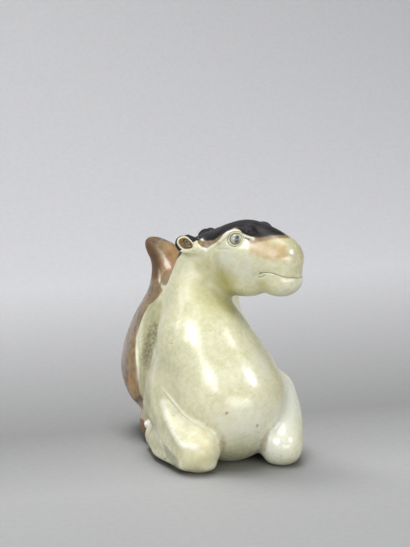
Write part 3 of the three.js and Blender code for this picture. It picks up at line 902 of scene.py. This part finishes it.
# %% Dull and pitted skin
paint("matte", WORN_STONE, 1.6, 1.4)
paint("pitted", WORN_STONE, 1.6, 1.4)
paint("matte", [(-13.5, -27, 6), (-10, -27.5, 6)], 2.5, 3.0, 0.5)
paint("matte", [(-8.6, -10.4, 43.5), (-8, -10.8, 42), (-7.6, -12.4, 39.5)], 1.2, 2.5, 0.55)
paint("matte", [(-5.2, -11.8, 43), (-3.1, -12.9, 40.7), (-1.8, -13.3, 39.2)], 0.8, 2.2, 0.5)
paint("matte", [(-15.6, -15.2, 16.6), (-14.6, -17, 14.9), (-15.6, -18, 13)], 0.8, 2.0, 0.65)
paint("matte", FORELEG_TOP, 1.2, 2.2, 0.6)
paint("matte", HAUNCH_EDGE, 0.4, 1.0, 0.6)
paint("matte", on_head([(16.5, 5.2, 51.5), (20, 4.8, 51.2)]), 1.0, 2.2, 0.5)
paint("patch_grey", WORN_STONE, 1.0, 1.6, 0.5)
paint("patch_grey", [(-16.6, -19.5, 4.2), (-16, -22, 3), (-15.4, -23.5, 2.4)], 0.8, 1.6)
paint("dirt", [(-16.3, -18.4, 1.9)], 0.2, 0.5, 0.9)
print("dull skin:", int((layer("matte") > 0.5).sum()), "vertices")

# %% [markdown]
# ## Handing the layers to the mesh
# The painted values have to travel with the piece, so each layer becomes an attribute of the mesh,
# one number for each vertex, which the material can read by its name.

# %% Attributes
for name, values in stone_layers.items():
    stone.data.attributes.new(name, "FLOAT", "POINT").data.foreach_set("value", values.astype(np.float32))
print("painted:", {name: round(float(values.max()), 2) for name, values in stone_layers.items()})

# %% [markdown]
# ## Building a material
# A material is a tree of nodes. It can be wired by hand in the editor, but here one small function
# adds any node with its settings and links. Colours are the sRGB values that a colour picker shows,
# and one function turns them into the shader's linear values.

# %% Node helpers
def linear(colour):
    channels = [int(colour[i:i + 2], 16) / 255 for i in (1, 3, 5)]
    return [c / 12.92 if c <= 0.04045 else ((c + 0.055) / 1.055) ** 2.4 for c in channels] + [1]

def add(tree, kind, inputs=None, **settings):
    """Adds one node with its settings. Its inputs are values, or the sockets that feed them."""
    made = tree.nodes.new("ShaderNode" + kind)
    for name, value in settings.items():
        setattr(made, name, value)
    for name, value in (inputs or {}).items():
        if isinstance(value, bpy.types.NodeSocket):
            tree.links.new(value, made.inputs[name])
        else:
            made.inputs[name].default_value = value
    return made

def new_material(name, roughness, ior):
    material = bpy.data.materials.new(name)
    material.use_nodes = True
    shader = material.node_tree.nodes["Principled BSDF"]
    shader.inputs["Roughness"].default_value = roughness
    shader.inputs["IOR"].default_value = ior
    return material, material.node_tree, shader

print("mid grey #808080 is", round(linear("#808080")[0], 3), "in linear light")

# %% [markdown]
# ## Nephrite
# Nephrite is a felted, slightly translucent stone, and a long polish gives it an oily gloss
# rather than a mirror: roughness near 0.2, index of refraction 1.61. Its colours are cloudy, and
# its stains have grown edges, not drawn ones. So one helper blends two colours by a cloudy
# noise, and one lays a painted layer, a stain or painted light and shade, where its painted
# value, made ragged with noise, passes a level.

# %% Clouds and stains
jade, tree, shader = new_material("polished_nephrite", 0.2, 1.61)
place = add(tree, "TexCoord").outputs["Object"]

def clouds(size, detail=4, roughness=0.6):
    """Settings for a noise whose clouds are that many millimetres wide."""
    return {"Vector": place, "Scale": 1 / (size * MM), "Detail": detail, "Roughness": roughness}

def mixed(share, under, over):
    """The colour under, with that share of the colour over it."""
    return add(tree, "Mix", {0: share, 6: under, 7: over}, data_type="RGBA").outputs[2]

def blended(low_colour, high_colour, size, low=0.35, high=0.65):
    """A cloudy blend of two colours."""
    noise = add(tree, "TexNoise", clouds(size)).outputs["Fac"]
    share = add(tree, "MapRange", {"Value": noise, "From Min": low, "From Max": high}).outputs["Result"]
    return mixed(share, linear(low_colour), linear(high_colour))

def laid_over(under, name, colour, size, ragged, low=0.3, high=0.7, strength=1.0):
    """The colour so far with one layer, stain or painted light, over it. Size is the grain of its ragged
    edge in mm.
    """
    painted = add(tree, "Attribute", attribute_name=name).outputs["Fac"]
    noise = add(tree, "TexNoise", clouds(size)).outputs["Fac"]
    uneven = add(tree, "Math", {0: noise, 1: ragged, 2: painted}, operation="MULTIPLY_ADD").outputs[0]
    levels = {"Value": uneven, "From Min": low + ragged / 2, "From Max": high + ragged / 2,
              "To Max": strength}
    share = add(tree, "MapRange", levels, interpolation_type="SMOOTHSTEP").outputs["Result"]
    return mixed(share, under, colour)

print("a cloud of 6 mm is a noise scale of", round(clouds(6)["Scale"]))

# %% [markdown]
# ## Body of the stone
# The body is a pale celadon with clouds some 6 mm wide and mottling of about 1 mm. Over it lie the
# faintest changes of colour: green tinge and grey-green flank, both partly painted shade, warm
# breast, and milky white with a painted highlight along the near leg's fold.

# %% Body colour
colour = blended("#C9C8A2", "#D9D8BC", 6)
colour = mixed(0.22, colour, blended("#B5B286", "#E6E4D0", 1.1))
# partly painted light: the olive and grey layers hold painted shade, the white a painted highlight
FAINT_TINTS_AND_PAINTED_LIGHT = [
    ("olive", linear("#A9A05C"), 2.5, 0.5, 0.0, 1.1, 0.8),
    ("flank", blended("#9C9A78", "#B5B38E", 2.5), 2.0, 0.6, 0.0, 1.1, 0.85),
    ("warm", linear("#CDBB86"), 2.5, 1.0, 0.1, 1.2, 0.6),
    ("white", linear("#DBDDD2"), 3.0, 0.4, 0.0, 1.0, 0.9),
]

for stain in FAINT_TINTS_AND_PAINTED_LIGHT:
    colour = laid_over(colour, *stain)
print("nodes so far:", len(tree.nodes))

# %% [markdown]
# ## Specks and fibres
# Small brownish specks float in the stone in loose swarms, and fine fibres all run one way
# through it. Real fibres are some hundredths of a millimetre wide, too fine to show, so they are
# drawn 0.4 mm wide and six times as long. A Mapping node turns their direction and stretches
# the noise along it.

# %% Specks and fibres
FIBRE_WIDTH = 0.40

speck_noise = add(tree, "TexNoise", clouds(0.9, 3, 0.7)).outputs["Fac"]
specks = add(tree, "MapRange", {"Value": speck_noise, "From Min": 0.58, "From Max": 0.74,
                                "To Max": 0.45}).outputs["Result"]
swarm_noise = add(tree, "TexNoise", clouds(5)).outputs["Fac"]
swarms = add(tree, "MapRange", {"Value": swarm_noise, "From Min": 0.42, "From Max": 0.62}).outputs["Result"]
specks = add(tree, "Math", {0: specks, 1: swarms}, operation="MULTIPLY").outputs[0]
colour = mixed(specks, colour, linear("#857A4A"))
along_grain = add(tree, "Mapping", {"Vector": place, "Rotation": (0.3, 0.9, 0), "Scale": (1, 1, 6)},
                  vector_type="TEXTURE").outputs["Vector"]
fibre_noise = add(tree, "TexNoise", {"Vector": along_grain, "Scale": 1 / (FIBRE_WIDTH * MM),
                                     "Detail": 2.0}).outputs["Fac"]
fibres = add(tree, "MapRange", {"Value": fibre_noise, "From Min": 0.56, "From Max": 0.76,
                                "To Max": 0.26}).outputs["Result"]
colour = mixed(fibres, colour, linear("#9C9468"))
print("nodes so far:", len(tree.nodes))

# %% [markdown]
# ## Stains, weathered skin and painted light
# The layers go on in the order in which they cover each other: the ochre creases, partly painted
# shade, with the ochre spots and tan first, then the brown skin with its darker and amber parts
# and the lilac rim, a painted reflection, then the foot with the knob's painted highlight, the
# black crown and the eyes with their painted dark reflection, and the dirt and painted shade of the
# grooves over all. Each has its own grain, from 0.4 mm in the grooves to 3 mm in the brown.

# %% Stains and painted light
# painted light here: crease shade, lilac rim reflection, knob highlight, eye reflection, groove shade
STAINS_AND_PAINTED_LIGHT = [
    ("crevice", linear("#94803F"), 0.8, 1.2, 0.1, 1.2, 0.6),
    ("ochre", linear("#8A6B2C"), 0.5, 0.5, 0.1, 1.0, 0.8),
    ("tan", linear("#B58E54"), 1.3, 1.4, 0.1, 1.3, 0.7),
    ("patch_grey", linear("#93927A"), 1.0, 0.6, 0.1, 1.0, 0.7),
    ("flank_spots", linear("#5E4E2E"), 0.8, 2.4, 0.35, 1.35, 0.6),
    ("rind", blended("#75634E", "#9B8664", 3.0), 1.2, 0.35, 0.2, 0.8),
    ("lilac", linear("#948B84"), 1.5, 0.4, 0.0, 1.0, 0.7),
    ("dark_rind", linear("#5E4632"), 1.5, 0.5, 0.1, 1.0, 0.8),
    ("amber", blended("#9A6C3A", "#B48E5C", 1.5), 1.5, 0.6, 0.1, 1.1, 0.65),
    ("foot_grey", linear("#9A8C74"), 1.0, 0.3, 0.3, 0.7, 0.8),
    ("hind_foot", blended("#5E3C1E", "#7A5230", 1.0), 1.0, 0.4, 0.1, 0.9),
    ("nub_white", linear("#E6DDD2"), 1.0, 0.2),
    ("warm_edge", linear("#75572F"), 1.0, 0.5, 0.15, 0.85, 0.85),
    ("crown", blended("#0D0C0C", "#2B2829", 1.4), 0.6, 0.3, 0.2, 0.8),
    ("eye", linear("#9EA09C"), 0.5, 0.1),
    ("pupil", linear("#2E3032"), 0.5, 0.1),
    ("dirt", linear("#4A3220"), 0.4, 0.5, 0.35, 0.95, 0.9),
]

for stain in STAINS_AND_PAINTED_LIGHT:
    colour = laid_over(colour, *stain)
tree.links.new(colour, shader.inputs["Base Color"])
print("nodes so far:", len(tree.nodes))

# %% [markdown]
# ## Light in the stone, and gloss
# Light wanders a few millimetres inside nephrite before it comes out, which softens the shadows:
# that is subsurface scattering. The gloss is a little uneven, duller on worn stone and on the
# weathered brown and black skin, and wet-looking on the eyes. The weathered skin also reflects
# less, so its specular level is lowered.

# %% Polish
GLOSSIEST, LEAST_GLOSSY = 0.17, 0.30
WORN_ROUGHNESS = 0.6
EYE_ROUGHNESS = 0.08
WEATHERED_ROUGHNESS = 0.42

shader.inputs["Subsurface Weight"].default_value = 0.8
shader.inputs["Subsurface Radius"].default_value = (1, 0.95, 0.7)
shader.inputs["Subsurface Scale"].default_value = 4 * MM
layers = {name: add(tree, "Attribute", attribute_name=name).outputs["Fac"]
          for name in ("matte", "eye", "crown", "dark_rind", "pitted")}
weathered = add(tree, "Math", {0: layers["crown"], 1: layers["dark_rind"]}, operation="MAXIMUM").outputs[0]
gloss_noise = add(tree, "TexNoise", clouds(1.5)).outputs["Fac"]
gloss = add(tree, "MapRange", {"Value": gloss_noise, "To Min": GLOSSIEST,
                               "To Max": LEAST_GLOSSY}).outputs["Result"]
for where, roughness in ((layers["matte"], WORN_ROUGHNESS), (layers["eye"], EYE_ROUGHNESS),
                         (weathered, WEATHERED_ROUGHNESS)):
    gloss = add(tree, "Mix", {0: where, 2: gloss, 3: roughness}, data_type="FLOAT").outputs[0]
tree.links.new(gloss, shader.inputs["Roughness"])
shine = add(tree, "MapRange", {"Value": weathered, "To Min": 0.72, "To Max": 0.15}).outputs["Result"]
tree.links.new(shine, shader.inputs["Specular IOR Level"])
print("nodes so far:", len(tree.nodes))

# %% [markdown]
# ## Ripples left by the wheel
# Even a fine polish leaves ripples of a few microns, which make the edges of the glints waver.
# They are far too small to model, so a Bump node tilts the surface by a noise of 1 mm, ten times
# as strong on the pitted patch.

# %% Ripples
pitting = add(tree, "Math", {0: layers["pitted"], 1: 9.0, 2: 1.0}, operation="MULTIPLY_ADD").outputs[0]
ripple_noise = add(tree, "TexNoise", clouds(1.0, 3)).outputs["Fac"]
height = add(tree, "Math", {0: ripple_noise, 1: pitting}, operation="MULTIPLY").outputs[0]
ripple = add(tree, "Bump", {"Height": height, "Strength": 0.5, "Distance": 0.012 * MM}).outputs["Normal"]
tree.links.new(ripple, shader.inputs["Normal"])
stone.data.materials.append(jade)
print("nodes in the jade:", len(tree.nodes))

# %% [markdown]
# ## Grey card
# The card is matt paper with a faint grain. It darkens just behind the figure and is lighter again
# further back, and that is painted shade: a ramp of tones along the card's depth stands in for
# more lamps and flags, and a fine noise adds the grain.

# %% Card
# painted shade: the darker tones of the ramp just behind the figure
NEAR_TONE, FAR_TONE = (0.22, "#AFAFAF"), (1.0, "#B4B4B6")
TONES_BETWEEN = ((0.28, "#B1B1B1"), (0.36, "#8F8F8F"), (0.44, "#A3A3A3"), (0.64, "#C7C7C9"))
RAMP_FROM, RAMP_TO = -0.2, 0.4
GRAIN = 1.6

card, card_tree, card_shader = new_material("grey_card", 0.6, 1.45)
card_place = add(card_tree, "TexCoord").outputs["Object"]
depth = add(card_tree, "SeparateXYZ", {0: card_place}).outputs["Y"]
share = add(card_tree, "MapRange", {"Value": depth, "From Min": RAMP_FROM, "From Max": RAMP_TO})
ramp = add(card_tree, "ValToRGB", {0: share.outputs["Result"]})
for stop, (position, tone) in zip(ramp.color_ramp.elements, (NEAR_TONE, FAR_TONE)):
    stop.position = position
    stop.color = linear(tone)
for position, tone in TONES_BETWEEN:
    ramp.color_ramp.elements.new(position).color = linear(tone)
grain = add(card_tree, "TexNoise", {"Vector": card_place, "Scale": 1 / (GRAIN * MM), "Detail": 3.0})
mottle = add(card_tree, "MapRange", {"Value": grain.outputs["Fac"], "From Min": 0.3, "From Max": 0.7,
                                     "To Min": 0.97, "To Max": 1.03}).outputs["Result"]
toned = add(card_tree, "VectorMath", {0: ramp.outputs["Color"], 3: mottle}, operation="SCALE")
card_tree.links.new(toned.outputs["Vector"], card_shader.inputs["Base Color"])
table.data.materials.append(card)
print("tones along the card:", len(ramp.color_ramp.elements))

# %% [markdown]
# ## Flags
# In the photograph the table is darkest under the belly, between the knees. In a studio, black
# flags keep the front boxes off the table, so that the lamp above and behind draws the shadow
# there. Light linking does the work of the flags: each lamp lights what it is given. The
# overhead diffuser and the room stay unflagged and light both.

# %% Flags
def lights_only(lamps, piece):
    lit = bpy.data.collections.new("lit_" + piece.name)
    lit.objects.link(piece)
    for name in lamps:
        bpy.data.objects[name].light_linking.receiver_collection = lit
    print("only", piece.name, "is lit by", lamps)

lights_only(["left_soft_box", "right_soft_box", "low_front_fill", "side_strip"], stone)
lights_only(["table_light"], table)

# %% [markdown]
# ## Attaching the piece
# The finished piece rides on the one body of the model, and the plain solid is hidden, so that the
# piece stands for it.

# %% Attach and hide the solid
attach(stone, "root")
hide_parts("camel")
print("triangles:", sum(len(p.vertices) - 2 for p in stone.data.polygons))
